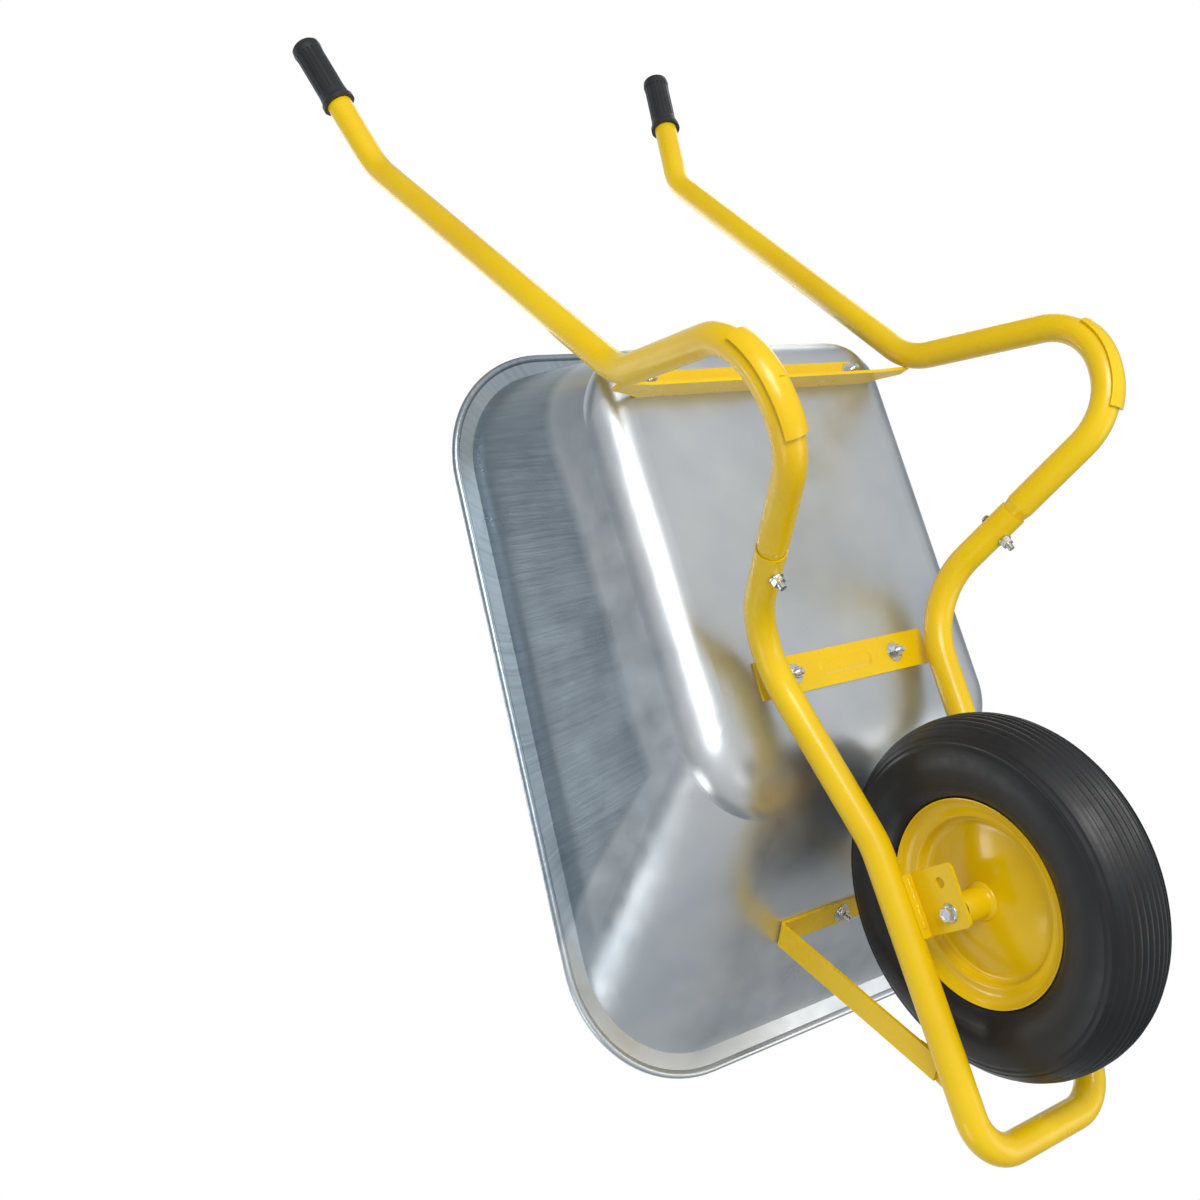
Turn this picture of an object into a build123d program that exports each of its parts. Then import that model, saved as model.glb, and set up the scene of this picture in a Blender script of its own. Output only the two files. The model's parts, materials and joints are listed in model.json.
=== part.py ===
# Builder's wheelbarrow: bent tube frame, deep drawn pan and one solid tyre wheel.
# Units are millimetres. +X is the user's left, +Y points to the handles, +Z is up.
import math
import os

from build123d import *

os.makedirs("parts", exist_ok=True)

# driving dimensions
tyre_diameter = 400.0
tyre_width = 104.0
rim_flange_diameter = 230.0
axle_behind_nose = 270.0
overall_length = 1619.0
tube_diameter = 35.0
tube_wall = 2.0
handle_spacing = 614.0
handle_height = 654.0
leg_spacing = 523.0
rail_spacing = 194.0
sheet = 1.5

pan_floor_height = 320.0
pan_rim_height = 555.0
pan_rim_slope = -0.05
rim_half_width_rear = 328.0
rim_half_width_front = 352.0
rim_front = -118.0
rim_rear = 803.0
flange_width = 26.5
bead_radius = 5.0
floor_half_width = 228.0
floor_front = 188.0
floor_rear = 720.0
floor_front_radius = 130.0
floor_side_radius = 54.0
floor_rear_radius = 40.0
fillet_zone = 36.0
corner_radius_floor = 36.0
corner_radius_zone = 100.0
corner_radius_rear = 134.0
corner_radius_front = 139.0

clear = 0.3
running = 0.05

# everything along Y is measured from the axle
axle_y = axle_behind_nose - overall_length / 2
axle_z = tyre_diameter / 2
tube_radius = tube_diameter / 2
skid_thickness = 4.0
plate_thickness = 2.5
skid_radius = tube_radius + clear + skid_thickness
worn_flat = 0.4
foot_z = skid_radius - worn_flat


def at(x, y, z):
    return Vector(x, axle_y + y, z)


def mirrored(v):
    return Vector(-v.X, v.Y, v.Z)


# frame line points on the left side
grip_end = at(handle_spacing / 2, overall_length - axle_behind_nose, handle_height)
handle_bend = at(261, 1141, 627)
rear_bend = at(234, 667, 273)
foot_rear = at(leg_spacing / 2 + 12.5, 600, foot_z)
foot_front = at(leg_spacing / 2 - 12.5, 478, foot_z)
rail_bend = at(142, 350, pan_floor_height - plate_thickness - tube_radius)
bracket_bend = at(rail_spacing / 2, 89, 258)
nose_corner = at(rail_spacing / 2, -252, 244)

grip_cap = 4.0
handle_dir = (handle_bend - grip_end).normalized()
handle_start = grip_end + handle_dir * grip_cap

leg_dir = (rail_bend - foot_front).normalized()
joint_point = foot_front + (rail_bend - foot_front) * 0.51
neck_length = 58.0
neck_taper = 12.0
neck_radius = tube_radius - tube_wall - clear
neck_end = joint_point + leg_dir * neck_length
joint_bolt_point = joint_point + leg_dir * 30.0

bend_radius = 90.0
foot_bend_radius = 84.0
rail_bend_radius = 110.0
bracket_bend_radius = 160.0
nose_bend_radius = 46.0

# ---- frame tubes -------------------------------------------------------------
bolt_dir = Vector(1, 0, 0).cross(leg_dir).normalized()

with BuildPart() as left_handle_tube:
    with BuildLine() as handle_line:
        FilletPolyline(
            handle_start, handle_bend, rear_bend, foot_rear, foot_front, joint_point - leg_dir * neck_taper,
            radius=[bend_radius, bend_radius, foot_bend_radius, foot_bend_radius],
        )
    with BuildSketch(Plane(origin=handle_start, z_dir=handle_dir)):
        Circle(tube_radius)
        Circle(tube_radius - tube_wall, mode=Mode.SUBTRACT)
    sweep(path=handle_line.line)
    with BuildSketch(Plane(origin=joint_point - leg_dir * neck_taper, z_dir=leg_dir)):
        Circle(tube_radius)
    with BuildSketch(Plane(origin=joint_point, z_dir=leg_dir)):
        Circle(neck_radius)
    loft()
    with BuildSketch(Plane(origin=joint_point, z_dir=leg_dir)):
        Circle(neck_radius)
    extrude(amount=neck_length)
    with BuildSketch(Plane(origin=joint_point - leg_dir * neck_taper, z_dir=leg_dir)):
        Circle(neck_radius - tube_wall)
    extrude(amount=neck_length + neck_taper, mode=Mode.SUBTRACT)
    with BuildSketch(Plane(origin=joint_bolt_point - bolt_dir * tube_diameter, z_dir=bolt_dir)):
        Circle(4.0 + clear)
    extrude(amount=2 * tube_diameter, mode=Mode.SUBTRACT)

with BuildPart() as right_handle_tube:
    add(mirror(left_handle_tube.part, about=Plane.YZ))

with BuildPart() as front_frame_tube:
    with BuildLine() as front_line:
        FilletPolyline(
            joint_point, rail_bend, bracket_bend, nose_corner,
            mirrored(nose_corner), mirrored(bracket_bend), mirrored(rail_bend), mirrored(joint_point),
            radius=[
                rail_bend_radius, bracket_bend_radius, nose_bend_radius,
                nose_bend_radius, bracket_bend_radius, rail_bend_radius,
            ],
        )
    with BuildSketch(Plane(origin=joint_point, z_dir=leg_dir)):
        Circle(tube_radius)
        Circle(tube_radius - tube_wall, mode=Mode.SUBTRACT)
    sweep(path=front_line.line)
    for side in (1, -1):
        middle = Vector(side * joint_bolt_point.X, joint_bolt_point.Y, joint_bolt_point.Z)
        across = Vector(side * bolt_dir.X, bolt_dir.Y, bolt_dir.Z)
        with BuildSketch(Plane(origin=middle - across * tube_diameter, z_dir=across)):
            Circle(4.0 + clear)
        extrude(amount=2 * tube_diameter, mode=Mode.SUBTRACT)

# ---- grips -------------------------------------------------------------------
grip_length = 104.0
grip_radius = 20.0
grip_lip_radius = 23.0
grip_plane = Plane(origin=grip_end, z_dir=handle_dir)

with BuildPart() as left_grip:
    with BuildSketch(Plane(origin=grip_end, x_dir=handle_dir, z_dir=handle_dir.cross(Vector(1, 0, 0)).normalized())):
        with BuildLine():
            Polyline(
                (0, 0), (0, 16.5), (3, 19.5), (10, grip_radius + 0.6), (20, grip_radius - 0.6),
                (82, grip_radius - 0.6), (94, grip_radius + 0.6), (98, grip_lip_radius),
                (grip_length, grip_lip_radius), (grip_length, tube_radius + clear),
                (grip_cap, tube_radius + clear), (grip_cap, 0), (0, 0),
            )
        make_face()
    revolve(axis=Axis(grip_end, handle_dir))
    rib_count = 18
    with BuildSketch(grip_plane.offset(16)):
        with PolarLocations(grip_radius + 0.2, rib_count):
            Circle(1.5)
    extrude(amount=68, mode=Mode.SUBTRACT)

with BuildPart() as right_grip:
    add(mirror(left_grip.part, about=Plane.YZ))

# ---- skid shoes on the feet --------------------------------------------------
shoe_start = at(267.3, 588.0, 40.8)
shoe_end = at(248.9, 490.0, 31.0)

with BuildPart() as left_skid:
    with BuildLine() as shoe_line:
        FilletPolyline(
            rear_bend + (foot_rear - rear_bend) * 0.5, foot_rear, foot_front,
            foot_front + (rail_bend - foot_front) * 0.4,
            radius=[foot_bend_radius, foot_bend_radius],
        )
    shoe_dir = (foot_rear - rear_bend).normalized()
    shoe_out = (foot_rear - foot_front).normalized()
    shoe_side = shoe_dir.cross(shoe_out).normalized()
    shoe_plane = Plane(origin=rear_bend + (foot_rear - rear_bend) * 0.5, x_dir=shoe_side.cross(shoe_dir), z_dir=shoe_dir)
    with BuildSketch(shoe_plane):
        Circle(skid_radius)
        Circle(tube_radius + clear, mode=Mode.SUBTRACT)
        with BuildLine():
            Polyline((0, 0), (60, 55), (60, -55), (0, 0))
        make_face(mode=Mode.INTERSECT)
    sweep(path=shoe_line.line)
    split(bisect_by=Plane.XY, keep=Keep.TOP)
    split(bisect_by=Plane(origin=shoe_start, z_dir=(0.03, 0.79, 0.61)), keep=Keep.BOTTOM)
    split(bisect_by=Plane(origin=shoe_end, z_dir=(-0.3, -0.855, 0.42)), keep=Keep.BOTTOM)

with BuildPart() as right_skid:
    add(mirror(left_skid.part, about=Plane.YZ))

# ---- pan ---------------------------------------------------------------------
rim_plane = Plane(
    origin=(0, axle_y, pan_rim_height), x_dir=(1, 0, 0), z_dir=Vector(0, -pan_rim_slope, 1).normalized()
)
wall_top_front = rim_front + flange_width
wall_top_rear = rim_rear - flange_width
wall_top_half_front = rim_half_width_front - flange_width
wall_top_half_rear = rim_half_width_rear - flange_width
rise_front = pan_rim_height + pan_rim_slope * wall_top_front - pan_floor_height
rise_rear = pan_rim_height + pan_rim_slope * wall_top_rear - pan_floor_height


def reach(height, edge, run, rise, radius, inset):
    # outward position of one wall at a height above the floor, with its floor fillet
    angle = math.atan2(rise, run)
    start = edge - radius * math.tan(angle / 2)
    r = radius - inset
    up = height - inset
    if up < r * (1 - math.cos(angle)):
        return start + math.sqrt(max(r * r - (r - up) ** 2, 0.0))
    tip = start + r * math.sin(angle)
    return tip + (up - r * (1 - math.cos(angle))) * run / rise


def pan_outline(height, inset):
    # front, rear and half widths of the pan wall at one height
    front = -reach(height, -floor_front, floor_front - wall_top_front, rise_front, floor_front_radius, inset)
    rear = reach(height, floor_rear, wall_top_rear - floor_rear, rise_rear, floor_rear_radius, inset)
    half_front = reach(
        height, floor_half_width, wall_top_half_front - floor_half_width, rise_front, floor_side_radius, inset
    )
    half_rear = reach(
        height, floor_half_width, wall_top_half_rear - floor_half_width, rise_rear, floor_side_radius, inset
    )
    return front, rear, half_front, half_rear


def rounded_outline(front, rear, half_front, half_rear, radius_front, radius_rear):
    with BuildLine() as outline:
        FilletPolyline(
            (half_rear, rear), (half_front, front), (-half_front, front), (-half_rear, rear),
            radius=[radius_rear, radius_front, radius_front, radius_rear], close=True,
        )
    return outline.line


def pan_body(inset):
    # solid of the pan's outer shape, or of its hollow when inset by the sheet
    zone_heights = [inset, inset + 0.5, inset + 2, inset + 7, inset + 15, inset + 25, fillet_zone]
    zone = []
    for height in zone_heights:
        share = (height - inset) / (fillet_zone - inset)
        corner = corner_radius_floor + (corner_radius_zone - corner_radius_floor) * share - inset
        plane = Plane(origin=(0, axle_y, pan_floor_height + height))
        zone.append(plane * make_face(rounded_outline(*pan_outline(height, inset), corner, corner)))
    top_extra = inset / math.cos(math.radians(19))
    top = rim_plane * make_face(rounded_outline(
        wall_top_front + 1.5 * inset, wall_top_rear - top_extra,
        wall_top_half_front - top_extra, wall_top_half_rear - top_extra,
        corner_radius_front - inset, corner_radius_rear - inset,
    ))
    return loft(zone), loft([zone[-1], top])


pan_outer = pan_body(0.0)
pan_inner = pan_body(sheet)
bead_line = rim_plane * rounded_outline(
    rim_front + bead_radius, rim_rear - bead_radius,
    rim_half_width_front - bead_radius, rim_half_width_rear - bead_radius,
    corner_radius_front + flange_width - bead_radius, corner_radius_rear + flange_width - bead_radius,
)

pan_bolt_radius = 4.0
rear_bolt_x = 165.0
rear_bolt_y = 672.0
middle_bolt_x = 83.0
middle_bolt_y = 298.0
wall_slope = math.atan2(rise_front, floor_front - wall_top_front)
wall_up = Vector(0, -math.cos(wall_slope), math.sin(wall_slope))
wall_out = Vector(0, -math.sin(wall_slope), -math.cos(wall_slope))
stay_point = at(0, floor_front, pan_floor_height) + wall_up * 226.0
floor_bolts = [
    at(rear_bolt_x, rear_bolt_y, pan_floor_height), at(-rear_bolt_x, rear_bolt_y, pan_floor_height),
    at(middle_bolt_x, middle_bolt_y, pan_floor_height), at(-middle_bolt_x, middle_bolt_y, pan_floor_height),
]
pan_bolt_seats = [(point, Vector(0, 0, -1)) for point in floor_bolts] + [(stay_point, wall_out)]

with BuildPart() as pan:
    add(pan_outer[0])
    add(pan_outer[1])
    with BuildSketch(rim_plane):
        make_face(rounded_outline(
            rim_front + bead_radius, rim_rear - bead_radius,
            rim_half_width_front - bead_radius, rim_half_width_rear - bead_radius,
            corner_radius_front + flange_width - bead_radius, corner_radius_rear + flange_width - bead_radius,
        ))
    extrude(amount=-sheet)
    bead_start = bead_line @ 0
    with BuildSketch(Plane(origin=bead_start, z_dir=bead_line % 0)):
        Circle(bead_radius)
    sweep(path=bead_line)
    add(pan_inner[0], mode=Mode.SUBTRACT)
    add(pan_inner[1], mode=Mode.SUBTRACT)
    for point, out in pan_bolt_seats:
        with BuildSketch(Plane(origin=point - out * 10, z_dir=out)):
            Circle(pan_bolt_radius + clear)
        extrude(amount=20, mode=Mode.SUBTRACT)

# ---- cross members under the pan ---------------------------------------------
bracket_plate = 4.0
bracket_half = 186.0
bracket_front = 655.0
bracket_rear = 686.0
bracket_depth = 36.0
rail_top = rail_bend.Z + tube_radius

with BuildPart(mode=Mode.PRIVATE) as tube_envelope:
    with BuildLine() as envelope_line:
        FilletPolyline(handle_bend, rear_bend, foot_rear, radius=[bend_radius])
    with BuildSketch(Plane(origin=handle_bend, z_dir=(rear_bend - handle_bend).normalized())):
        Circle(tube_radius + clear)
    sweep(path=envelope_line.line)
    mirror(about=Plane.YZ)

with BuildPart() as rear_cross_bracket:
    with BuildSketch(Plane(origin=(0, axle_y, pan_floor_height))):
        with BuildLine():
            Polyline(
                (-bracket_half, bracket_front), (bracket_half, bracket_front), (bracket_half, bracket_front + 9),
                (bracket_half - 16, bracket_rear), (-bracket_half + 16, bracket_rear),
                (-bracket_half, bracket_front + 9), (-bracket_half, bracket_front),
            )
        make_face()
        with Locations((0, rear_bolt_y)):
            Circle(5.0, mode=Mode.SUBTRACT)
        with Locations((rear_bolt_x, rear_bolt_y), (-rear_bolt_x, rear_bolt_y)):
            Circle(pan_bolt_radius + clear, mode=Mode.SUBTRACT)
    extrude(amount=-bracket_plate)
    with BuildSketch(Plane.XZ.offset(-(axle_y + bracket_front))):
        with BuildLine():
            Polyline(
                (-bracket_half, pan_floor_height), (bracket_half, pan_floor_height),
                (bracket_half + 20, pan_floor_height - 12), (rear_bend.X, pan_floor_height - 24),
                (rear_bend.X, pan_floor_height - bracket_depth - 6),
                (bracket_half, pan_floor_height - bracket_depth), (-bracket_half, pan_floor_height - bracket_depth),
                (-rear_bend.X, pan_floor_height - bracket_depth - 6), (-rear_bend.X, pan_floor_height - 24),
                (-bracket_half - 20, pan_floor_height - 12), (-bracket_half, pan_floor_height),
            )
        make_face()
    extrude(amount=-bracket_plate)
    add(tube_envelope.part, mode=Mode.SUBTRACT)

plate_half = 138.0
plate_width = 45.0
bead_half = 40.0

with BuildPart() as middle_cross_plate:
    with BuildSketch(Plane(origin=(0, axle_y + middle_bolt_y, rail_top))):
        Rectangle(2 * plate_half, plate_width)
        with Locations((middle_bolt_x, 0), (-middle_bolt_x, 0)):
            Circle(pan_bolt_radius + clear, mode=Mode.SUBTRACT)
    extrude(amount=plate_thickness)
    with BuildSketch(Plane(origin=(0, axle_y + middle_bolt_y, rail_top))):
        SlotCenterToCenter(2 * bead_half, 12)
    extrude(amount=-2, taper=25)

# ---- front stay --------------------------------------------------------------
stay_half = rail_spacing / 2 + 5.0
stay_thickness = 4.0
stay_width = 30.0
stay_leg = 261.0
stay_inner = stay_half - stay_thickness

with BuildPart() as front_stay:
    with BuildSketch(Plane(origin=stay_point - wall_up * (stay_width / 2), x_dir=(1, 0, 0), z_dir=wall_up)):
        with BuildLine():
            Polyline(
                (stay_half, -stay_leg), (stay_half, 0), (-stay_half, 0), (-stay_half, -stay_leg),
                (-stay_inner, -stay_leg), (-stay_inner, -stay_thickness), (stay_inner, -stay_thickness),
                (stay_inner, -stay_leg), (stay_half, -stay_leg),
            )
        make_face()
    extrude(amount=stay_width)
    bend_edges = front_stay.edges().filter_by(lambda e: abs(abs(e.tangent_at(0).dot(wall_up)) - 1) < 1e-6)
    outer_bends = bend_edges.filter_by(lambda e: (e.center() - stay_point).dot(wall_out) < 0.1)
    fillet(outer_bends, radius=6.0)
    bend_edges = front_stay.edges().filter_by(lambda e: abs(abs(e.tangent_at(0).dot(wall_up)) - 1) < 1e-6)
    inner_bends = bend_edges.filter_by(
        lambda e: abs((e.center() - stay_point).dot(wall_out) - stay_thickness) < 0.1 and abs(e.center().X) < stay_half - 1
    )
    fillet(inner_bends, radius=2.5)
    with BuildSketch(Plane(origin=stay_point - wall_out * 5, z_dir=wall_out)):
        Circle(pan_bolt_radius + clear)
    extrude(amount=20, mode=Mode.SUBTRACT)
    for end in (bracket_bend, mirrored(bracket_bend)):
        with BuildSketch(Plane(origin=end, z_dir=(nose_corner - bracket_bend).normalized())):
            Circle(tube_radius + clear)
        extrude(amount=320, mode=Mode.SUBTRACT)

nose_dir = (nose_corner - bracket_bend).normalized()
nose_up = Vector(1, 0, 0).cross(nose_dir).normalized()
nose_up = nose_up if nose_up.Z > 0 else nose_up * -1


def rail_point(y):
    # point on the straight nose rail at a distance from the axle
    share = (axle_y + y - bracket_bend.Y) / (nose_corner.Y - bracket_bend.Y)
    return bracket_bend + (nose_corner - bracket_bend) * share


tab_low_rear = rail_point(-136) + nose_up * tube_radius
tab_low_front = rail_point(-182) + nose_up * tube_radius
stay_end = stay_point + wall_out * (stay_leg - 33)

with BuildPart() as left_stay_tab:
    with BuildSketch(Plane(origin=(stay_inner - stay_thickness, 0, 0), x_dir=(0, 1, 0), z_dir=(1, 0, 0))):
        with BuildLine():
            Polyline(
                (tab_low_front.Y, tab_low_front.Z), (tab_low_rear.Y, tab_low_rear.Z),
                ((stay_end - wall_up * 12).Y, (stay_end - wall_up * 12).Z),
                ((stay_end + wall_up * 12).Y, (stay_end + wall_up * 12).Z),
                (tab_low_front.Y, tab_low_front.Z),
            )
        make_face()
    extrude(amount=stay_thickness)

with BuildPart() as right_stay_tab:
    add(mirror(left_stay_tab.part, about=Plane.YZ))

# ---- wheel brackets ----------------------------------------------------------
fork_plate = 4.0
fork_inner = 74.0
fork_outer = fork_inner + fork_plate
fork_rear = 49.0
fork_length = 70.0
fork_foot = 78.0
flange_drop = 13.0
flange_end = rail_spacing / 2 - 3.0
spare_hole_y = 33.0
spare_hole_radius = 6.0
axle_bolt_radius = 5.0

with BuildPart() as left_wheel_bracket:
    fork_origin = Vector(0, rail_point(fork_rear).Y, rail_point(fork_rear).Z)
    with BuildSketch(Plane(origin=fork_origin, x_dir=(1, 0, 0), z_dir=nose_dir)):
        with BuildLine():
            Polyline(
                (flange_end, -flange_drop), (fork_inner, -flange_drop), (fork_inner, -fork_foot),
                (fork_outer, -fork_foot), (fork_outer, -flange_drop - fork_plate),
                (flange_end, -flange_drop - fork_plate), (flange_end, -flange_drop),
            )
        make_face()
    extrude(amount=fork_length)
    with BuildSketch(Plane(origin=rail_point(fork_rear + 20), z_dir=nose_dir)):
        Circle(tube_radius + clear)
    extrude(amount=fork_length + 40, mode=Mode.SUBTRACT)
    corner_edges = left_wheel_bracket.edges().filter_by(Axis.X).group_by(Axis.Z)
    fillet(corner_edges[0] + corner_edges[1], radius=6.0)
    with BuildSketch(Plane(origin=(fork_inner - 5, axle_y, axle_z), x_dir=(0, 1, 0), z_dir=(1, 0, 0))):
        Circle(axle_bolt_radius + 0.5)
        with Locations((spare_hole_y, 0)):
            Circle(spare_hole_radius)
    extrude(amount=20, mode=Mode.SUBTRACT)

with BuildPart() as right_wheel_bracket:
    add(mirror(left_wheel_bracket.part, about=Plane.YZ))

# ---- wheel -------------------------------------------------------------------
wheel_plane = Plane(origin=(0, axle_y, axle_z), x_dir=(1, 0, 0), z_dir=(0, -1, 0))
wheel_axis = Axis((0, axle_y, axle_z), (1, 0, 0))
axle_radius = 8.0
hub_radius = 17.0
hub_bore = 14.0
hub_half = 66.0
hub_collar_half = 25.5
hub_collar_radius = 24.0
rim_lip = rim_flange_diameter / 2
barrel_radius = 96.0
seat_x = 26.5
belly_radius = 151.5
crown = tyre_diameter / 2 - belly_radius
tyre_half = tyre_width / 2
tread_power = 2 / 2.28
groove_pitch = 11.0
groove_width = 2.6
groove_depth = 3.6


def tread_radius(x):
    # outer radius of the tyre section at one distance from the wheel's middle
    share = (abs(x) / tyre_half) ** (1 / tread_power)
    return belly_radius + crown * (1 - share ** 2) ** (tread_power / 2)


with BuildPart() as tyre:
    with BuildSketch(wheel_plane):
        with BuildLine():
            rising = [(39.5, 117.5), (45.5, 124.0), (50.0, 136.0), (tyre_half, belly_radius)]
            over = []
            for angle in (72, 56, 42, 29, 15):
                a = math.radians(angle)
                over.append((tyre_half * math.sin(a) ** tread_power, belly_radius + crown * math.cos(a) ** tread_power))
            right_side = rising + over
            left_side = [(-x, r) for x, r in reversed(right_side)]
            Spline(*right_side, (0, tyre_diameter / 2), *left_side)
            Polyline(
                (-39.5, 117.5), (-37.4, 116.2), (-34.6, 113.9), (-29.1, 108.6), (-seat_x, 102.0),
                (-seat_x, barrel_radius + clear), (seat_x, barrel_radius + clear), (seat_x, 102.0),
                (29.1, 108.6), (34.6, 113.9), (37.4, 116.2), (39.5, 117.5),
            )
        make_face()
    revolve(axis=wheel_axis)
    with BuildSketch(wheel_plane):
        for index in range(-3, 4):
            x = index * groove_pitch
            bottom = tread_radius(x) - groove_depth
            with Locations((x, bottom + 10)):
                Rectangle(groove_width, 20)
    revolve(axis=wheel_axis, mode=Mode.SUBTRACT)

with BuildPart() as left_rim_half:
    with BuildSketch(wheel_plane):
        with BuildLine():
            Polyline(
                (hub_collar_half + 2, hub_radius + clear), (hub_collar_half + 2, 24.0), (26.8, 34.0), (25.4, 48.0),
                (23.0, 62.0), (20.4, 74.0), (18.6, 81.0), (18.2, 85.0), (19.4, 88.6), (22.5, 90.6), (27.0, 92.0),
                (28.5, 95.0), (28.5, 101.0), (31.4, 107.2), (36.4, 111.6), (39.2, rim_lip - 1.2),
                (39.2, rim_lip), (37.4, rim_lip), (35.0, 113.3), (29.8, 108.6), (seat_x, 101.7),
                (seat_x, barrel_radius), (0.0, barrel_radius), (0.0, barrel_radius - 2), (25.2, barrel_radius - 2),
                (21.6, 92.8), (17.8, 90.2), (16.2, 85.6), (16.6, 80.6), (18.4, 73.4), (21.0, 61.4), (23.4, 47.6),
                (24.8, 33.8), (hub_collar_half, 24.2),
                (hub_collar_half, hub_radius + clear), (hub_collar_half + 2, hub_radius + clear),
            )
        make_face()
    revolve(axis=wheel_axis)

with BuildPart() as right_rim_half:
    add(mirror(left_rim_half.part, about=Plane.YZ))

with BuildPart() as hub_tube:
    with BuildSketch(wheel_plane):
        with BuildLine():
            Polyline(
                (-hub_half, hub_bore), (-hub_half, hub_radius), (-hub_collar_half, hub_radius),
                (-hub_collar_half, hub_collar_radius), (hub_collar_half, hub_collar_radius),
                (hub_collar_half, hub_radius), (hub_half, hub_radius), (hub_half, hub_bore),
                (-hub_half, hub_bore),
            )
        make_face()
    revolve(axis=wheel_axis)

bearing_end = hub_half + 2.5
with BuildPart() as hub_bearings:
    with BuildSketch(wheel_plane):
        for side in (1, -1):
            with BuildLine():
                Polyline(
                    (side * 50, axle_radius + running), (side * 50, hub_bore - clear),
                    (side * hub_half, hub_bore - clear), (side * hub_half, hub_radius),
                    (side * bearing_end, hub_radius), (side * bearing_end, axle_radius + running),
                    (side * 50, axle_radius + running),
                )
            make_face()
    revolve(axis=wheel_axis)

# ---- axle --------------------------------------------------------------------
with BuildPart() as axle:
    with BuildSketch(wheel_plane):
        with BuildLine():
            Polyline(
                (-fork_inner, axle_bolt_radius + clear), (-fork_inner, axle_radius), (fork_inner, axle_radius),
                (fork_inner, axle_bolt_radius + clear), (50, axle_bolt_radius + clear), (50, 0), (-50, 0),
                (-50, axle_bolt_radius + clear), (-fork_inner, axle_bolt_radius + clear),
            )
        make_face()
    revolve(axis=wheel_axis)

with BuildPart() as axle_spacers:
    with BuildSketch(wheel_plane):
        for side in (1, -1):
            spacer_middle = (bearing_end + 0.4 + fork_inner) / 2
            with Locations((side * spacer_middle, (axle_radius + clear + 12.0) / 2)):
                Rectangle(fork_inner - bearing_end - 0.4, 12.0 - axle_radius - clear)
    revolve(axis=wheel_axis)

axle_hex = 15.0
with BuildPart() as axle_bolts:
    for side in (1, -1):
        outward = Vector(side, 0, 0)
        seat = Vector(side * fork_outer, axle_y, axle_z)
        with BuildSketch(Plane(origin=seat - outward * 24, z_dir=outward)):
            Circle(axle_bolt_radius)
        extrude(amount=24)
        with BuildSketch(Plane(origin=seat, z_dir=outward)):
            Circle(10.8)
        extrude(amount=1.8)
        with BuildSketch(Plane(origin=seat, z_dir=outward)):
            RegularPolygon(axle_hex / 2, 6, major_radius=False)
        extrude(amount=8.6)

# ---- pan fasteners -----------------------------------------------------------
washer_thickness = 1.6
washer_radius = 12.0
nut_height = 6.5
nut_hex = 13.0
thread_end = 9.0
head_radius = 9.5
stacks = [bracket_plate, bracket_plate, plate_thickness, plate_thickness, stay_thickness]

with BuildPart() as pan_bolts:
    for (point, out), stack in zip(pan_bolt_seats, stacks):
        inside = point - out * sheet
        shank = sheet + stack + washer_thickness + nut_height + thread_end
        with BuildSketch(Plane(origin=inside, z_dir=out)):
            Circle(pan_bolt_radius)
        extrude(amount=shank)
        with BuildSketch(Plane(origin=inside, z_dir=out * -1)):
            Circle(head_radius)
        extrude(amount=3.8, taper=35)

with BuildPart() as pan_washers:
    for (point, out), stack in zip(pan_bolt_seats, stacks):
        with BuildSketch(Plane(origin=point + out * stack, z_dir=out)):
            Circle(washer_radius)
            Circle(pan_bolt_radius + clear, mode=Mode.SUBTRACT)
        extrude(amount=washer_thickness)

with BuildPart() as pan_nuts:
    for (point, out), stack in zip(pan_bolt_seats, stacks):
        with BuildSketch(Plane(origin=point + out * (stack + washer_thickness), z_dir=out)):
            RegularPolygon(nut_hex / 2, 6, major_radius=False)
            Circle(pan_bolt_radius + clear, mode=Mode.SUBTRACT)
        extrude(amount=nut_height)

# ---- frame joint fasteners ---------------------------------------------------
joint_seats = []
for side in (1, -1):
    middle = Vector(side * joint_bolt_point.X, joint_bolt_point.Y, joint_bolt_point.Z)
    across = Vector(side * bolt_dir.X, bolt_dir.Y, bolt_dir.Z)
    joint_seats.append((middle, across))

with BuildPart() as joint_bolts:
    for middle, across in joint_seats:
        with BuildSketch(Plane(origin=middle - across * tube_radius, z_dir=across)):
            Circle(4.0)
        extrude(amount=tube_diameter + washer_thickness + nut_height + 7)
        with BuildSketch(Plane(origin=middle - across * tube_radius, z_dir=across * -1)):
            Circle(7.5)
        extrude(amount=3.2, taper=30)

with BuildPart() as joint_washers:
    for middle, across in joint_seats:
        with BuildSketch(Plane(origin=middle + across * tube_radius, z_dir=across)):
            Circle(8.5)
            Circle(4.0 + clear, mode=Mode.SUBTRACT)
        extrude(amount=washer_thickness)

with BuildPart() as joint_nuts:
    for middle, across in joint_seats:
        with BuildSketch(Plane(origin=middle + across * (tube_radius + washer_thickness), z_dir=across)):
            RegularPolygon(nut_hex / 2, 6, major_radius=False)
            Circle(4.0 + clear, mode=Mode.SUBTRACT)
        extrude(amount=nut_height)

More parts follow.
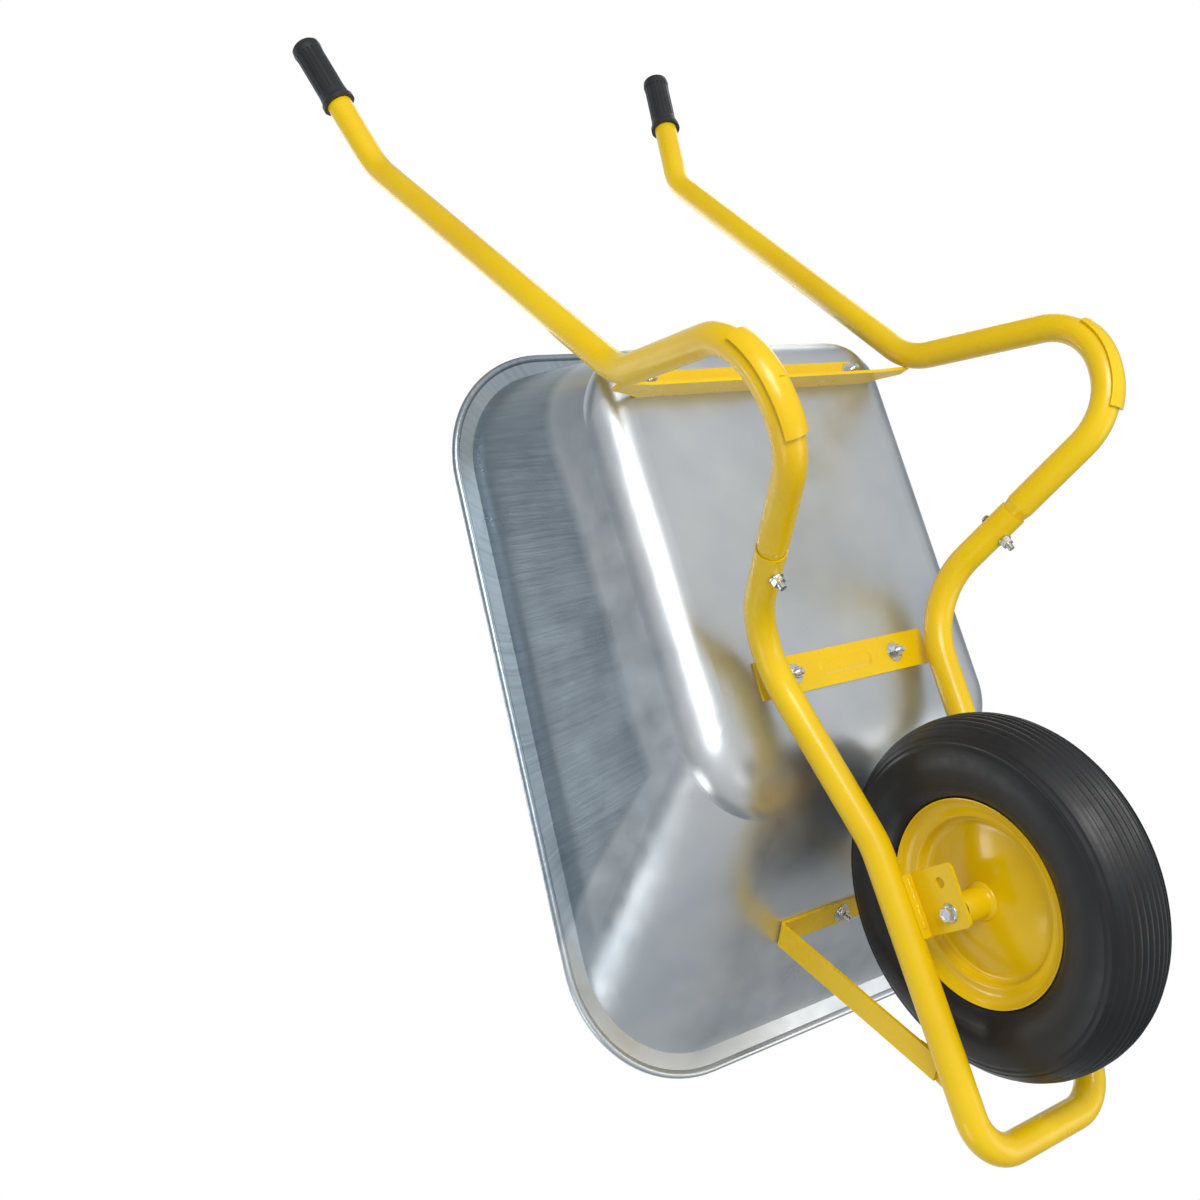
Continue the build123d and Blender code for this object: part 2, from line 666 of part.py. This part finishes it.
# ---- export ------------------------------------------------------------------
nodes = {
    "pan": pan,
    "left_handle_tube": left_handle_tube,
    "right_handle_tube": right_handle_tube,
    "front_frame_tube": front_frame_tube,
    "left_grip": left_grip,
    "right_grip": right_grip,
    "left_skid": left_skid,
    "right_skid": right_skid,
    "rear_cross_bracket": rear_cross_bracket,
    "middle_cross_plate": middle_cross_plate,
    "front_stay": front_stay,
    "left_stay_tab": left_stay_tab,
    "right_stay_tab": right_stay_tab,
    "left_wheel_bracket": left_wheel_bracket,
    "right_wheel_bracket": right_wheel_bracket,
    "tyre": tyre,
    "left_rim_half": left_rim_half,
    "right_rim_half": right_rim_half,
    "hub_tube": hub_tube,
    "hub_bearings": hub_bearings,
    "axle": axle,
    "axle_spacers": axle_spacers,
    "axle_bolts": axle_bolts,
    "pan_bolts": pan_bolts,
    "pan_washers": pan_washers,
    "pan_nuts": pan_nuts,
    "joint_bolts": joint_bolts,
    "joint_washers": joint_washers,
    "joint_nuts": joint_nuts,
}
for name, node in nodes.items():
    node.part.label = name
    export_step(node.part, f"parts/{name}.step")
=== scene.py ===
import json
import math
import bpy
from mathutils import Matrix, Vector


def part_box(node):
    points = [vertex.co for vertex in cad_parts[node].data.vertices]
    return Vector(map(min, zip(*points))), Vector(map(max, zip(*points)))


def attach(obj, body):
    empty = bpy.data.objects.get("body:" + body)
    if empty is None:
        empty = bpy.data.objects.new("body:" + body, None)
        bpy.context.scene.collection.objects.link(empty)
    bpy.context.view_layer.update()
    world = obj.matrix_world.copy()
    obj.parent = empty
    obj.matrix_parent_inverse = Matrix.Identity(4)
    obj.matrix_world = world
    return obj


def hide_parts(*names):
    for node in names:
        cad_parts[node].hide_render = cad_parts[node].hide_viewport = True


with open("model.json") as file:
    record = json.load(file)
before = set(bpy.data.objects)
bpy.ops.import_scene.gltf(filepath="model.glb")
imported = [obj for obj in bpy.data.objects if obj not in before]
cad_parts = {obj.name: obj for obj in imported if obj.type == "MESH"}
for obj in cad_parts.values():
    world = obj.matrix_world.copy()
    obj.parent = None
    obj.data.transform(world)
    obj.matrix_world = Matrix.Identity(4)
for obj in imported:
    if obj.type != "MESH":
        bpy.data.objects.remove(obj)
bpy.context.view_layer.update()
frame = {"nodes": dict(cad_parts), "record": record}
nodes = frame["nodes"]
scene = bpy.context.scene
axleY = sum(c[1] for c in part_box("axle")) / 2
axleZ = sum(c[2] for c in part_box("axle")) / 2


def freshMaterial(name):
    mat = bpy.data.materials.new(name)
    mat.use_nodes = True
    tree = mat.node_tree
    return mat, tree, tree.nodes["Principled BSDF"]


def addNode(tree, kind, settings=None, inputs=None):
    node = tree.nodes.new(kind)
    for key, value in (settings or {}).items():
        setattr(node, key, value)
    for key, value in (inputs or {}).items():
        node.inputs[key].default_value = value
    return node


def noiseOn(tree, vector, scale, detail=4.0, rough=0.55):
    noise = addNode(tree, "ShaderNodeTexNoise", inputs={"Scale": scale, "Detail": detail, "Roughness": rough})
    tree.links.new(vector, noise.inputs["Vector"])
    return noise.outputs["Fac"]


def rangeOf(tree, value, low, high, toLow, toHigh):
    node = addNode(tree, "ShaderNodeMapRange",
                   inputs={"From Min": low, "From Max": high, "To Min": toLow, "To Max": toHigh})
    tree.links.new(value, node.inputs["Value"])
    return node.outputs["Result"]


def mathOn(tree, kind, first, second):
    node = addNode(tree, "ShaderNodeMath", {"operation": kind})
    for socket, value in ((node.inputs[0], first), (node.inputs[1], second)):
        if isinstance(value, (int, float)):
            socket.default_value = value
        else:
            tree.links.new(value, socket)
    return node.outputs[0]


def colourMix(tree, factor, first, second):
    mix = addNode(tree, "ShaderNodeMix", {"data_type": "RGBA"})
    tree.links.new(factor, mix.inputs["Factor"])
    for socket, colour in ((mix.inputs["A"], first), (mix.inputs["B"], second)):
        if isinstance(colour, tuple):
            socket.default_value = (*colour, 1.0)
        else:
            tree.links.new(colour, socket)
    return mix.outputs["Result"]


def bumpOn(tree, height, distance, normal=None):
    bump = addNode(tree, "ShaderNodeBump", inputs={"Strength": 1.0, "Distance": distance})
    tree.links.new(height, bump.inputs["Height"])
    if normal is not None:
        tree.links.new(normal, bump.inputs["Normal"])
    return bump.outputs["Normal"]


paint = {"colour": (0.79, 0.53, 0.002), "shade": (0.73, 0.465, 0.0015), "scuff": (0.62, 0.38, 0.004),
         "roughness": 0.27, "peel": 0.00005}


def makePaint(name, gloss=0.0):
    mat, tree, shader = freshMaterial(name)
    spot = addNode(tree, "ShaderNodeTexCoord").outputs["Object"]
    broad = rangeOf(tree, noiseOn(tree, spot, 6.0, 3.0), 0.35, 0.65, 0.0, 1.0)
    body = colourMix(tree, broad, paint["colour"], paint["shade"])
    marks = rangeOf(tree, noiseOn(tree, spot, 75.0, 6.0, 0.7), 0.70, 0.78, 0.0, 0.55)
    tree.links.new(colourMix(tree, marks, body, paint["scuff"]), shader.inputs["Base Color"])
    low = paint["roughness"] - gloss
    tree.links.new(rangeOf(tree, noiseOn(tree, spot, 30.0, 5.0), 0.3, 0.7, low - 0.04, low + 0.09),
                   shader.inputs["Roughness"])
    tree.links.new(bumpOn(tree, noiseOn(tree, spot, 230.0, 2.0), paint["peel"]), shader.inputs["Normal"])
    shader.inputs["Specular IOR Level"].default_value = 0.38
    shader.inputs["Coat Weight"].default_value = 0.12
    shader.inputs["Coat Roughness"].default_value = 0.1
    return mat


zincSheet = {"colour": (0.50, 0.545, 0.58), "pale": (0.66, 0.675, 0.68), "streak": (0.27, 0.32, 0.36),
             "worked": (0.36, 0.415, 0.455), "middle": -0.19, "workedFrom": 0.422, "workedTo": 0.436, "wave": 0.05,
             "frontFrom": -0.80, "frontTo": -0.42, "frontLift": 0.22, "marksRound": 55.0, "marksUp": 9.0,
             "markDepth": 0.0005, "dentDepth": 0.0022}


def makeSheet():
    mat, tree, shader = freshMaterial("galvanisedSheet")
    spot = addNode(tree, "ShaderNodeTexCoord").outputs["Object"]
    parts = addNode(tree, "ShaderNodeSeparateXYZ")
    tree.links.new(spot, parts.inputs[0])
    away = mathOn(tree, "SUBTRACT", parts.outputs["Y"], zincSheet["middle"])
    turn = mathOn(tree, "ARCTAN2", away, parts.outputs["X"])
    # drawing marks run from the rim towards the floor
    ways = addNode(tree, "ShaderNodeCombineXYZ")
    tree.links.new(mathOn(tree, "MULTIPLY", turn, zincSheet["marksRound"]), ways.inputs["X"])
    tree.links.new(mathOn(tree, "MULTIPLY", parts.outputs["Z"], zincSheet["marksUp"]), ways.inputs["Y"])
    drawn = noiseOn(tree, ways.outputs[0], 1.3, 5.0, 0.62)
    wave = mathOn(tree, "MULTIPLY", noiseOn(tree, spot, 2.6, 2.0), zincSheet["wave"])
    level = mathOn(tree, "ADD", parts.outputs["Z"], wave)
    outward = mathOn(tree, "ARCTAN2", away, mathOn(tree, "ABSOLUTE", parts.outputs["X"], 0.0))
    # the marks stop short of the front corners
    lift = rangeOf(tree, outward, zincSheet["frontFrom"], zincSheet["frontTo"], zincSheet["frontLift"], 0.0)
    reached = mathOn(tree, "SUBTRACT", level, lift)
    worked = rangeOf(tree, reached, zincSheet["workedFrom"], zincSheet["workedTo"], 0.0, 1.0)
    broad = rangeOf(tree, noiseOn(tree, spot, 3.2, 4.0), 0.35, 0.65, 0.0, 1.0)
    plain = colourMix(tree, broad, zincSheet["colour"], zincSheet["pale"])
    lines = mathOn(tree, "MULTIPLY", rangeOf(tree, drawn, 0.42, 0.66, 0.0, 1.0), 0.75)
    marked = colourMix(tree, lines, zincSheet["worked"], zincSheet["streak"])
    tree.links.new(colourMix(tree, worked, plain, marked), shader.inputs["Base Color"])
    tree.links.new(rangeOf(tree, noiseOn(tree, spot, 18.0, 6.0), 0.3, 0.7, 0.27, 0.42),
                   shader.inputs["Roughness"])
    scored = bumpOn(tree, mathOn(tree, "MULTIPLY", drawn, worked), zincSheet["markDepth"])
    dents = noiseOn(tree, spot, 9.0, 2.0)
    tree.links.new(bumpOn(tree, dents, zincSheet["dentDepth"], normal=scored), shader.inputs["Normal"])
    shader.inputs["Metallic"].default_value = 0.92
    return mat


rubber = {"dustGain": 1.5, "dustLift": 0.003, "grain": 0.00006, "specular": 0.36}


def makeRubber(name, colour, roughness):
    mat, tree, shader = freshMaterial(name)
    spot = addNode(tree, "ShaderNodeTexCoord").outputs["Object"]
    dusty = tuple(c * rubber["dustGain"] + rubber["dustLift"] for c in colour)
    dust = rangeOf(tree, noiseOn(tree, spot, 8.0, 5.0), 0.4, 0.7, 0.0, 1.0)
    tree.links.new(colourMix(tree, dust, colour, dusty), shader.inputs["Base Color"])
    tree.links.new(rangeOf(tree, noiseOn(tree, spot, 40.0, 4.0), 0.3, 0.7, roughness - 0.06, roughness + 0.1),
                   shader.inputs["Roughness"])
    tree.links.new(bumpOn(tree, noiseOn(tree, spot, 700.0, 2.0), rubber["grain"]), shader.inputs["Normal"])
    shader.inputs["Specular IOR Level"].default_value = rubber["specular"]
    return mat


zincPlate = {"warm": (0.72, 0.70, 0.62), "cool": (0.60, 0.64, 0.70), "grain": 0.00004}


def makeZinc():
    mat, tree, shader = freshMaterial("zincPlate")
    spot = addNode(tree, "ShaderNodeTexCoord").outputs["Object"]
    tint = rangeOf(tree, noiseOn(tree, spot, 60.0, 3.0), 0.35, 0.65, 0.0, 1.0)
    tree.links.new(colourMix(tree, tint, zincPlate["warm"], zincPlate["cool"]), shader.inputs["Base Color"])
    tree.links.new(rangeOf(tree, noiseOn(tree, spot, 150.0, 3.0), 0.3, 0.7, 0.2, 0.36), shader.inputs["Roughness"])
    tree.links.new(bumpOn(tree, noiseOn(tree, spot, 400.0, 3.0), zincPlate["grain"]), shader.inputs["Normal"])
    shader.inputs["Metallic"].default_value = 1.0
    return mat


finishes = {
    "galvanised_sheet": makeSheet(), "yellow_paint": makePaint("yellowPaint"),
    "yellow_rim": makePaint("yellowRimPaint", 0.1),
    "black_grip": makeRubber("gripRubber", (0.016, 0.0165, 0.019), 0.42),
    "tyre_rubber": makeRubber("tyreRubber", (0.0085, 0.0085, 0.0092), 0.40),
    "bearing_plastic": makeRubber("bearingPlastic", (0.03, 0.03, 0.032), 0.4),
    "zinc_steel": makeZinc(),
}
slotOf = {part["node"]: part["material_slot"] for part in frame["record"]["subparts"]}
for name, node in nodes.items():
    for holder in node.material_slots:
        holder.material = finishes[slotOf[name]]
print("materials on the frame")


def finishPiece(piece, name, body, slot, replaced=(), smooth=35):
    piece.name = name
    piece.data.name = name
    bpy.ops.object.select_all(action="DESELECT")
    piece.select_set(True)
    bpy.context.view_layer.objects.active = piece
    bpy.ops.object.mode_set(mode="EDIT")
    bpy.ops.mesh.select_all(action="SELECT")
    bpy.ops.mesh.remove_doubles(threshold=0.000005)
    bpy.ops.mesh.normals_make_consistent(inside=False)
    bpy.ops.object.mode_set(mode="OBJECT")
    bpy.ops.object.shade_smooth_by_angle(angle=math.radians(smooth))
    piece.data.materials.clear()
    piece.data.materials.append(finishes[slot])
    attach(piece, body)
    if replaced:
        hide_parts(*replaced)


def turned(points, steps):
    # a closed outline of (along, out) pairs, turned about the X axis through the origin
    bpy.ops.object.select_all(action="DESELECT")
    bpy.ops.mesh.primitive_circle_add(vertices=len(points), radius=0.1)
    piece = bpy.context.object
    for vert, (along, out) in zip(piece.data.vertices, points):
        vert.co = (along / 1000, 0, out / 1000)
    bpy.ops.object.mode_set(mode="EDIT")
    bpy.ops.mesh.select_all(action="SELECT")
    bpy.ops.mesh.spin(steps=steps, angle=2 * math.pi, center=(0, 0, 0), axis=(1, 0, 0))
    bpy.ops.object.mode_set(mode="OBJECT")
    return piece


def setDown(piece, place, along=(1, 0, 0)):
    # turns the piece's X axis to a direction, moves it to its place and fixes both in the mesh
    turn = Vector((1, 0, 0)).rotation_difference(Vector(along).normalized())
    piece.matrix_world = Matrix.Translation(place) @ turn.to_matrix().to_4x4()
    bpy.ops.object.select_all(action="DESELECT")
    piece.select_set(True)
    bpy.context.view_layer.objects.active = piece
    bpy.ops.object.transform_apply(location=True, rotation=True, scale=True)


def joined(pieces):
    bpy.ops.object.select_all(action="DESELECT")
    for piece in pieces:
        piece.select_set(True)
    bpy.context.view_layer.objects.active = pieces[0]
    bpy.ops.object.join()
    return pieces[0]


# tyre with fine ribs round the tread
tyre = {"half": 52.0, "belly": 151.5, "top": 200.0, "power": 2 / 2.28, "ribs": 15, "deep": 3.0, "steps": 168,
        "plain": 20.0, "samples": 400}


def tyreOutline():
    crown = tyre["top"] - tyre["belly"]
    fine = []
    for index in range(tyre["samples"]):
        a = math.radians(90 - 180 * index / (tyre["samples"] - 1))
        fine.append((tyre["half"] * math.copysign(abs(math.sin(a)) ** tyre["power"], a),
                     tyre["belly"] + crown * max(math.cos(a), 0.0) ** tyre["power"]))
    lengths = [0.0]
    for first, second in zip(fine, fine[1:]):
        lengths.append(lengths[-1] + math.dist(first, second))
    ribbed = lengths[-1] - 2 * tyre["plain"]
    # how far along a rib each point stands and how much of the groove's depth it has
    groove = ((0.0, 1.0), (0.16, 0.72), (0.3, 0.18), (0.5, 0.0), (0.7, 0.18), (0.84, 0.72))
    outline = []
    for rib in range(tyre["ribs"]):
        for share, drop in groove:
            want = tyre["plain"] + ribbed * (rib + share) / tyre["ribs"]
            k = next(i for i, length in enumerate(lengths) if length >= want)
            x, r = fine[k]
            tangent = Vector((fine[k][0] - fine[k - 1][0], fine[k][1] - fine[k - 1][1])).normalized()
            shallow = min(1.0, (rib + share) / 2, (tyre["ribs"] - rib - share) / 2)
            sink = drop * tyre["deep"] * max(shallow, 0.25)
            outline.append((x + tangent.y * sink, r - abs(tangent.x) * sink))
    wall = [(51.2, 157.5), (51.9, 151.5), (51.6, 146.0), (50.6, 139.5), (48.9, 133.5), (48.6, 131.8),
            (46.9, 128.6), (45.3, 124.4), (42.8, 121.0), (41.2, 119.0), (40.2, 117.8), (38.6, 116.7),
            (34.6, 113.9), (29.1, 108.6), (26.5, 102.0), (26.5, 96.4)]
    return outline + [(-x, r) for x, r in wall] + wall[::-1]


tyrePiece = turned(tyreOutline(), tyre["steps"])
setDown(tyrePiece, (0, axleY, axleZ))
finishPiece(tyrePiece, "ribbedTyre", "wheel", "tyre_rubber", ["tyre"], 50)

# pressed rim halves: rolled lip, ledge, valley and domed disc
rimFace = [(27.5, 17.4), (27.5, 24.0), (27.2, 29.0), (26.8, 34.0), (26.2, 41.0), (25.4, 48.0), (24.3, 55.0),
           (23.0, 62.0), (21.7, 68.0), (20.4, 74.0), (19.3, 78.2), (18.5, 81.6), (18.2, 84.2), (18.4, 86.4),
           (19.4, 88.4), (21.2, 89.9), (23.6, 90.9), (26.0, 91.8), (27.6, 93.0), (28.4, 94.8), (28.5, 97.4),
           (28.7, 101.0), (29.8, 104.4), (31.8, 107.6), (34.4, 110.4), (36.9, 112.3), (38.7, 113.2),
           (39.2, 114.0), (39.1, 114.7), (38.2, 115.0)]
rimBack = [(36.6, 114.6), (34.6, 113.0), (31.6, 110.2), (29.0, 107.4), (27.2, 103.6), (26.5, 100.6), (26.5, 96.2),
           (25.0, 93.8), (21.6, 92.6), (19.2, 91.2), (17.6, 89.6), (16.4, 86.8), (16.2, 84.0), (16.6, 80.6),
           (17.4, 77.4), (18.4, 73.4), (21.0, 61.4), (23.4, 47.6), (24.8, 33.8), (25.5, 24.2), (25.5, 17.4)]
sides = ((1, "left"), (-1, "right"))
for side, name in sides:
    rim = turned([(side * x, r) for x, r in rimFace + rimBack], 120)
    setDown(rim, (0, axleY, axleZ))
    finishPiece(rim, name + "PressedRim", "wheel", "yellow_rim", [name + "_rim_half"], 40)

# hub tube with a weld ring against each dish
halfHub = [(66.0, 14.2), (66.0, 16.6), (65.6, 17.0), (33.2, 17.0), (31.4, 17.7), (30.4, 19.0), (29.7, 20.6),
           (28.4, 21.4), (27.6, 21.5), (25.3, 21.5), (25.3, 23.8)]
hub = turned(halfHub + [(-x, r) for x, r in reversed(halfHub)], 72)
setDown(hub, (0, axleY, axleZ))
finishPiece(hub, "weldedHub", "wheel", "yellow_rim", ["hub_tube"], 50)
print("wheel")

# bolts, washers and nuts under the pan and through the frame
fastener = {"thread": 4.0, "root": 3.45, "pitch": 1.25, "washer": 12.0, "washerThick": 1.6, "nut": 7.5,
            "nutHeight": 6.5, "head": 9.4, "headHeight": 3.4, "threadFrom": 2.0, "threadTo": 17.0}


def threaded(start, end, headRadius, headHeight):
    # a carriage bolt along X with its head below zero
    outline = [(-headHeight, 0.0), (-headHeight, headRadius * 0.45), (-headHeight * 0.75, headRadius * 0.72),
               (-headHeight * 0.35, headRadius * 0.92), (-0.6, headRadius), (0, headRadius), (0, fastener["thread"]),
               (start, fastener["thread"])]
    turns = int((end - start - 1.2) / fastener["pitch"])
    for index in range(turns):
        at = start + index * fastener["pitch"]
        outline += [(at + 0.35, fastener["root"]), (at + 0.95, fastener["thread"]), (at + 1.15, fastener["thread"])]
    outline += [(end - 0.8, fastener["root"]), (end, fastener["root"] - 0.6), (end, 0.0)]
    return turned(outline, 20)


def washerRing(radius, height):
    return turned([(0, 4.25), (0, radius - 0.3), (0.3, radius), (height - 0.3, radius), (height, radius - 0.3),
                   (height, 4.25)], 32)


def hexNut(height):
    r = fastener["nut"]
    return turned([(0, 4.7), (0, r * 0.9), (0.5, r), (height - 0.9, r), (height, r * 0.87), (height, 4.9),
                   (height - 0.5, 4.7)], 6)


# each seat is a place on the sheet, the way out of it and the thickness clamped to it
seats = {"gauge": 1.5, "floorZ": 0.320, "rear": (0.165, 0.672, 4.0), "middle": (0.083, 0.298, 2.5),
         "stay": (0.0164, 0.4671, 4.0), "wallOut": (0, -0.6508, -0.7593)}
panSeats = [(Vector((side * x, axleY + y, seats["floorZ"])), Vector((0, 0, -1)), stack)
            for x, y, stack in (seats["rear"], seats["middle"]) for side in (1, -1)]
panSeats.append((Vector((0, axleY + seats["stay"][0], seats["stay"][1])), Vector(seats["wallOut"]),
                 seats["stay"][2]))
bolts, washers, nuts = [], [], []
for place, out, stack in panSeats:
    clamped = seats["gauge"] + stack
    bolt = threaded(clamped + fastener["threadFrom"], clamped + fastener["threadTo"], fastener["head"],
                    fastener["headHeight"])
    setDown(bolt, place - out * seats["gauge"] / 1000, out)
    bolts.append(bolt)
    washer = washerRing(fastener["washer"], fastener["washerThick"])
    setDown(washer, place + out * stack / 1000, out)
    washers.append(washer)
    nut = hexNut(fastener["nutHeight"])
    setDown(nut, place + out * (stack + fastener["washerThick"]) / 1000, out)
    nuts.append(nut)
finishPiece(joined(bolts), "carriageBolts", "frame", "zinc_steel", ["pan_bolts"], 30)
finishPiece(joined(washers), "broadWashers", "frame", "zinc_steel", ["pan_washers"], 30)
finishPiece(joined(nuts), "chamferedNuts", "frame", "zinc_steel", ["pan_nuts"], 20)

# hex flange bolts at the axle
flangeBolt = {"x": 0.078,
              "flange": ([(0, 0), (0, 10.6), (0.7, 10.8), (1.5, 10.2), (2.4, 8.6), (2.4, 0)], 40),
              "head": ([(2.0, 0), (2.0, 8.5), (7.4, 8.5), (8.3, 7.5), (8.3, 5.2), (7.5, 4.6), (7.5, 0)], 6),
              "shank": ([(-23.5, 0), (-23.5, 4.6), (-23.0, 5.0), (0.2, 5.0), (0.2, 0)], 24)}
heads = []
for side in (1, -1):
    for kind in ("flange", "head", "shank"):
        heads.append(turned(*flangeBolt[kind]))
        setDown(heads[-1], (side * flangeBolt["x"], axleY, axleZ), (side, 0, 0))
finishPiece(joined(heads), "flangeHeads", "frame", "zinc_steel", ["axle_bolts"], 25)
print("fasteners")

# weld beads where the wheel brackets meet the tubes
weld = {"radius": 0.0026, "step": 0.0022, "x": 0.0835, "frontZ": 0.238, "rearZ": 0.2405, "frontGap": 0.008,
        "rearGap": 0.004}


def weldBead(name, first, last):
    count = max(6, int((last - first).length / weld["step"]))
    bpy.ops.object.select_all(action="DESELECT")
    bpy.ops.curve.primitive_nurbs_path_add()
    bead = bpy.context.object
    bead.data.splines.clear()
    line = bead.data.splines.new("POLY")
    line.points.add(count)
    for index, point in enumerate(line.points):
        share = index / count
        wobble = 0.0006 * math.sin(index * 2.3) + 0.0004 * math.sin(index * 0.9)
        point.co = (*(first.lerp(last, share) + Vector((wobble, wobble * 0.6, -wobble * 0.5))), 1.0)
        point.radius = (0.35 if index in (0, count) else 1.0) * (1.0 + 0.09 * math.sin(index * 2.1))
    bead.data.dimensions = "3D"
    bead.data.bevel_depth = weld["radius"]
    bead.data.bevel_resolution = 3
    bead.data.use_fill_caps = True
    bpy.ops.object.convert(target="MESH")
    finishPiece(bead, name, "frame", "yellow_paint", smooth=60)


for side, name in sides:
    low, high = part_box(name + "_wheel_bracket")
    weldBead(name + "BracketWeld", Vector((side * weld["x"], low[1] + weld["frontGap"], weld["frontZ"])),
             Vector((side * weld["x"], high[1] - weld["rearGap"], weld["rearZ"])))
print("welds")

# middle cross plate with a soft pressed bead
plate = {"half": 0.138, "width": 0.045, "thick": 0.0025, "beadHalf": 0.034, "beadEdge": 0.0098, "ramp": 0.0062,
         "drop": 0.002, "holeX": 0.083, "hole": 0.0043, "columns": 184, "rows": 30, "drill": 0.02}
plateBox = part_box("middle_cross_plate")
plateY = (plateBox[0][1] + plateBox[1][1]) / 2
bpy.ops.object.select_all(action="DESELECT")
bpy.ops.mesh.primitive_grid_add(x_subdivisions=plate["columns"], y_subdivisions=plate["rows"], size=1.0,
                                location=(0, plateY, plateBox[1][2]))
crossPlate = bpy.context.object
crossPlate.scale = (2 * plate["half"], plate["width"], 1.0)
bpy.ops.object.transform_apply(location=True, rotation=True, scale=True)
for vert in crossPlate.data.vertices:
    reach = math.hypot(max(abs(vert.co.x) - plate["beadHalf"], 0.0), vert.co.y - plateY)
    share = min(max((plate["beadEdge"] - reach) / plate["ramp"], 0.0), 1.0)
    vert.co.z -= plate["drop"] * share * share * (3 - 2 * share)
thicken = crossPlate.modifiers.new("thicken", "SOLIDIFY")
thicken.thickness = plate["thick"]
thicken.offset = -1
bpy.ops.object.modifier_apply(modifier="thicken")
for side in (1, -1):
    bpy.ops.object.select_all(action="DESELECT")
    bpy.ops.mesh.primitive_cylinder_add(vertices=32, radius=plate["hole"], depth=plate["drill"],
                                        location=(side * plate["holeX"], plateY, plateBox[1][2]))
    drill = bpy.context.object
    bpy.ops.object.select_all(action="DESELECT")
    crossPlate.select_set(True)
    bpy.context.view_layer.objects.active = crossPlate
    cut = crossPlate.modifiers.new("cut", "BOOLEAN")
    cut.object = drill
    cut.operation = "DIFFERENCE"
    bpy.ops.object.modifier_apply(modifier="cut")
    bpy.data.objects.remove(drill)
finishPiece(crossPlate, "beadedPlate", "frame", "yellow_paint", ["middle_cross_plate"], 40)
print("cross plate")

# floor, seen from above only
bpy.ops.object.select_all(action="DESELECT")
bpy.ops.mesh.primitive_plane_add(size=14.0, location=(0, 0, 0))
floor = bpy.context.object
floor.name = "floor"
floorMaterial, floorTree, floorShader = freshMaterial("paleFloor")
floorShader.inputs["Base Color"].default_value = (0.80, 0.80, 0.79, 1.0)
floorShader.inputs["Roughness"].default_value = 0.7
under = addNode(floorTree, "ShaderNodeNewGeometry").outputs["Backfacing"]
clear = addNode(floorTree, "ShaderNodeBsdfTransparent")
choose = addNode(floorTree, "ShaderNodeMixShader")
floorTree.links.new(under, choose.inputs[0])
floorTree.links.new(floorShader.outputs[0], choose.inputs[1])
floorTree.links.new(clear.outputs[0], choose.inputs[2])
floorTree.links.new(choose.outputs[0], floorTree.nodes["Material Output"].inputs["Surface"])
floor.data.materials.append(floorMaterial)
floor.visible_shadow = False
floor.visible_diffuse = False
floor.visible_glossy = False

# camera at the viewing angle
view = {
    "place": (1.1611, -0.3906, -0.9270),
    "right": (-0.79818, -0.28234, -0.53215), "up": (-0.11725, 0.93929, -0.32248),
    "back": (0.5909, -0.195, -0.78283),
    "lens": 42.318, "shift": (-0.05, -0.035),
}
bpy.ops.object.camera_add()
camera = bpy.context.object
turn = Matrix((view["right"], view["up"], view["back"])).transposed().to_4x4()
camera.matrix_world = Matrix.Translation(view["place"]) @ turn
camera.data.lens = view["lens"]
camera.data.shift_x, camera.data.shift_y = view["shift"]
scene.camera = camera

# soft studio light round the object
aimedAt = Vector((0, 0, 0.3))
lamps = {
    "topLamp": ((0.0, 0.4, 3.2), 2.4, 34.0), "sideLamp": ((2.6, -2.0, 0.6), 1.4, 14.0),
    "backLamp": ((-2.4, 2.0, 1.2), 1.8, 20.0), "underKey": ((1.15, 0.75, -2.7), 1.4, 70.0),
    "highSpot": ((2.2, 0.1, 1.9), 0.6, 7.0),
    "underFill": ((-1.6, -2.0, -1.8), 1.8, 18.0),
}
for name, (place, size, power) in lamps.items():
    bpy.ops.object.light_add(type="AREA", location=place)
    lamp = bpy.context.object
    lamp.name = name
    lamp.data.size = size
    lamp.data.energy = power
    lamp.rotation_euler = (aimedAt - Vector(place)).to_track_quat("-Z", "Y").to_euler()
world = bpy.data.worlds.new("studio")
world.use_nodes = True
scene.world = world
sky = world.node_tree
facing = addNode(sky, "ShaderNodeSeparateXYZ")
sky.links.new(addNode(sky, "ShaderNodeTexCoord").outputs["Generated"], facing.inputs[0])
ramp = addNode(sky, "ShaderNodeValToRGB")
stops = [(0.0, (0.80, 0.81, 0.82)), (0.18, (0.66, 0.67, 0.69)), (0.36, (0.55, 0.555, 0.56)),
         (0.47, (0.22, 0.245, 0.27)), (0.62, (0.22, 0.25, 0.275)), (0.8, (0.7, 0.72, 0.74)), (1.0, (0.95, 0.95, 0.95))]
while len(ramp.color_ramp.elements) < len(stops):
    ramp.color_ramp.elements.new(0.5)
for stop, (position, colour) in zip(ramp.color_ramp.elements, stops):
    stop.position = position
    stop.color = (*colour, 1.0)
sky.links.new(rangeOf(sky, facing.outputs["Z"], -1.0, 1.0, 0.0, 1.0), ramp.inputs["Fac"])
seen = addNode(sky, "ShaderNodeLightPath").outputs["Is Camera Ray"]
sky.links.new(colourMix(sky, seen, ramp.outputs["Color"], (1.0, 1.0, 1.0)), sky.nodes["Background"].inputs["Color"])
scene.view_settings.view_transform = "Standard"
print("camera and light")
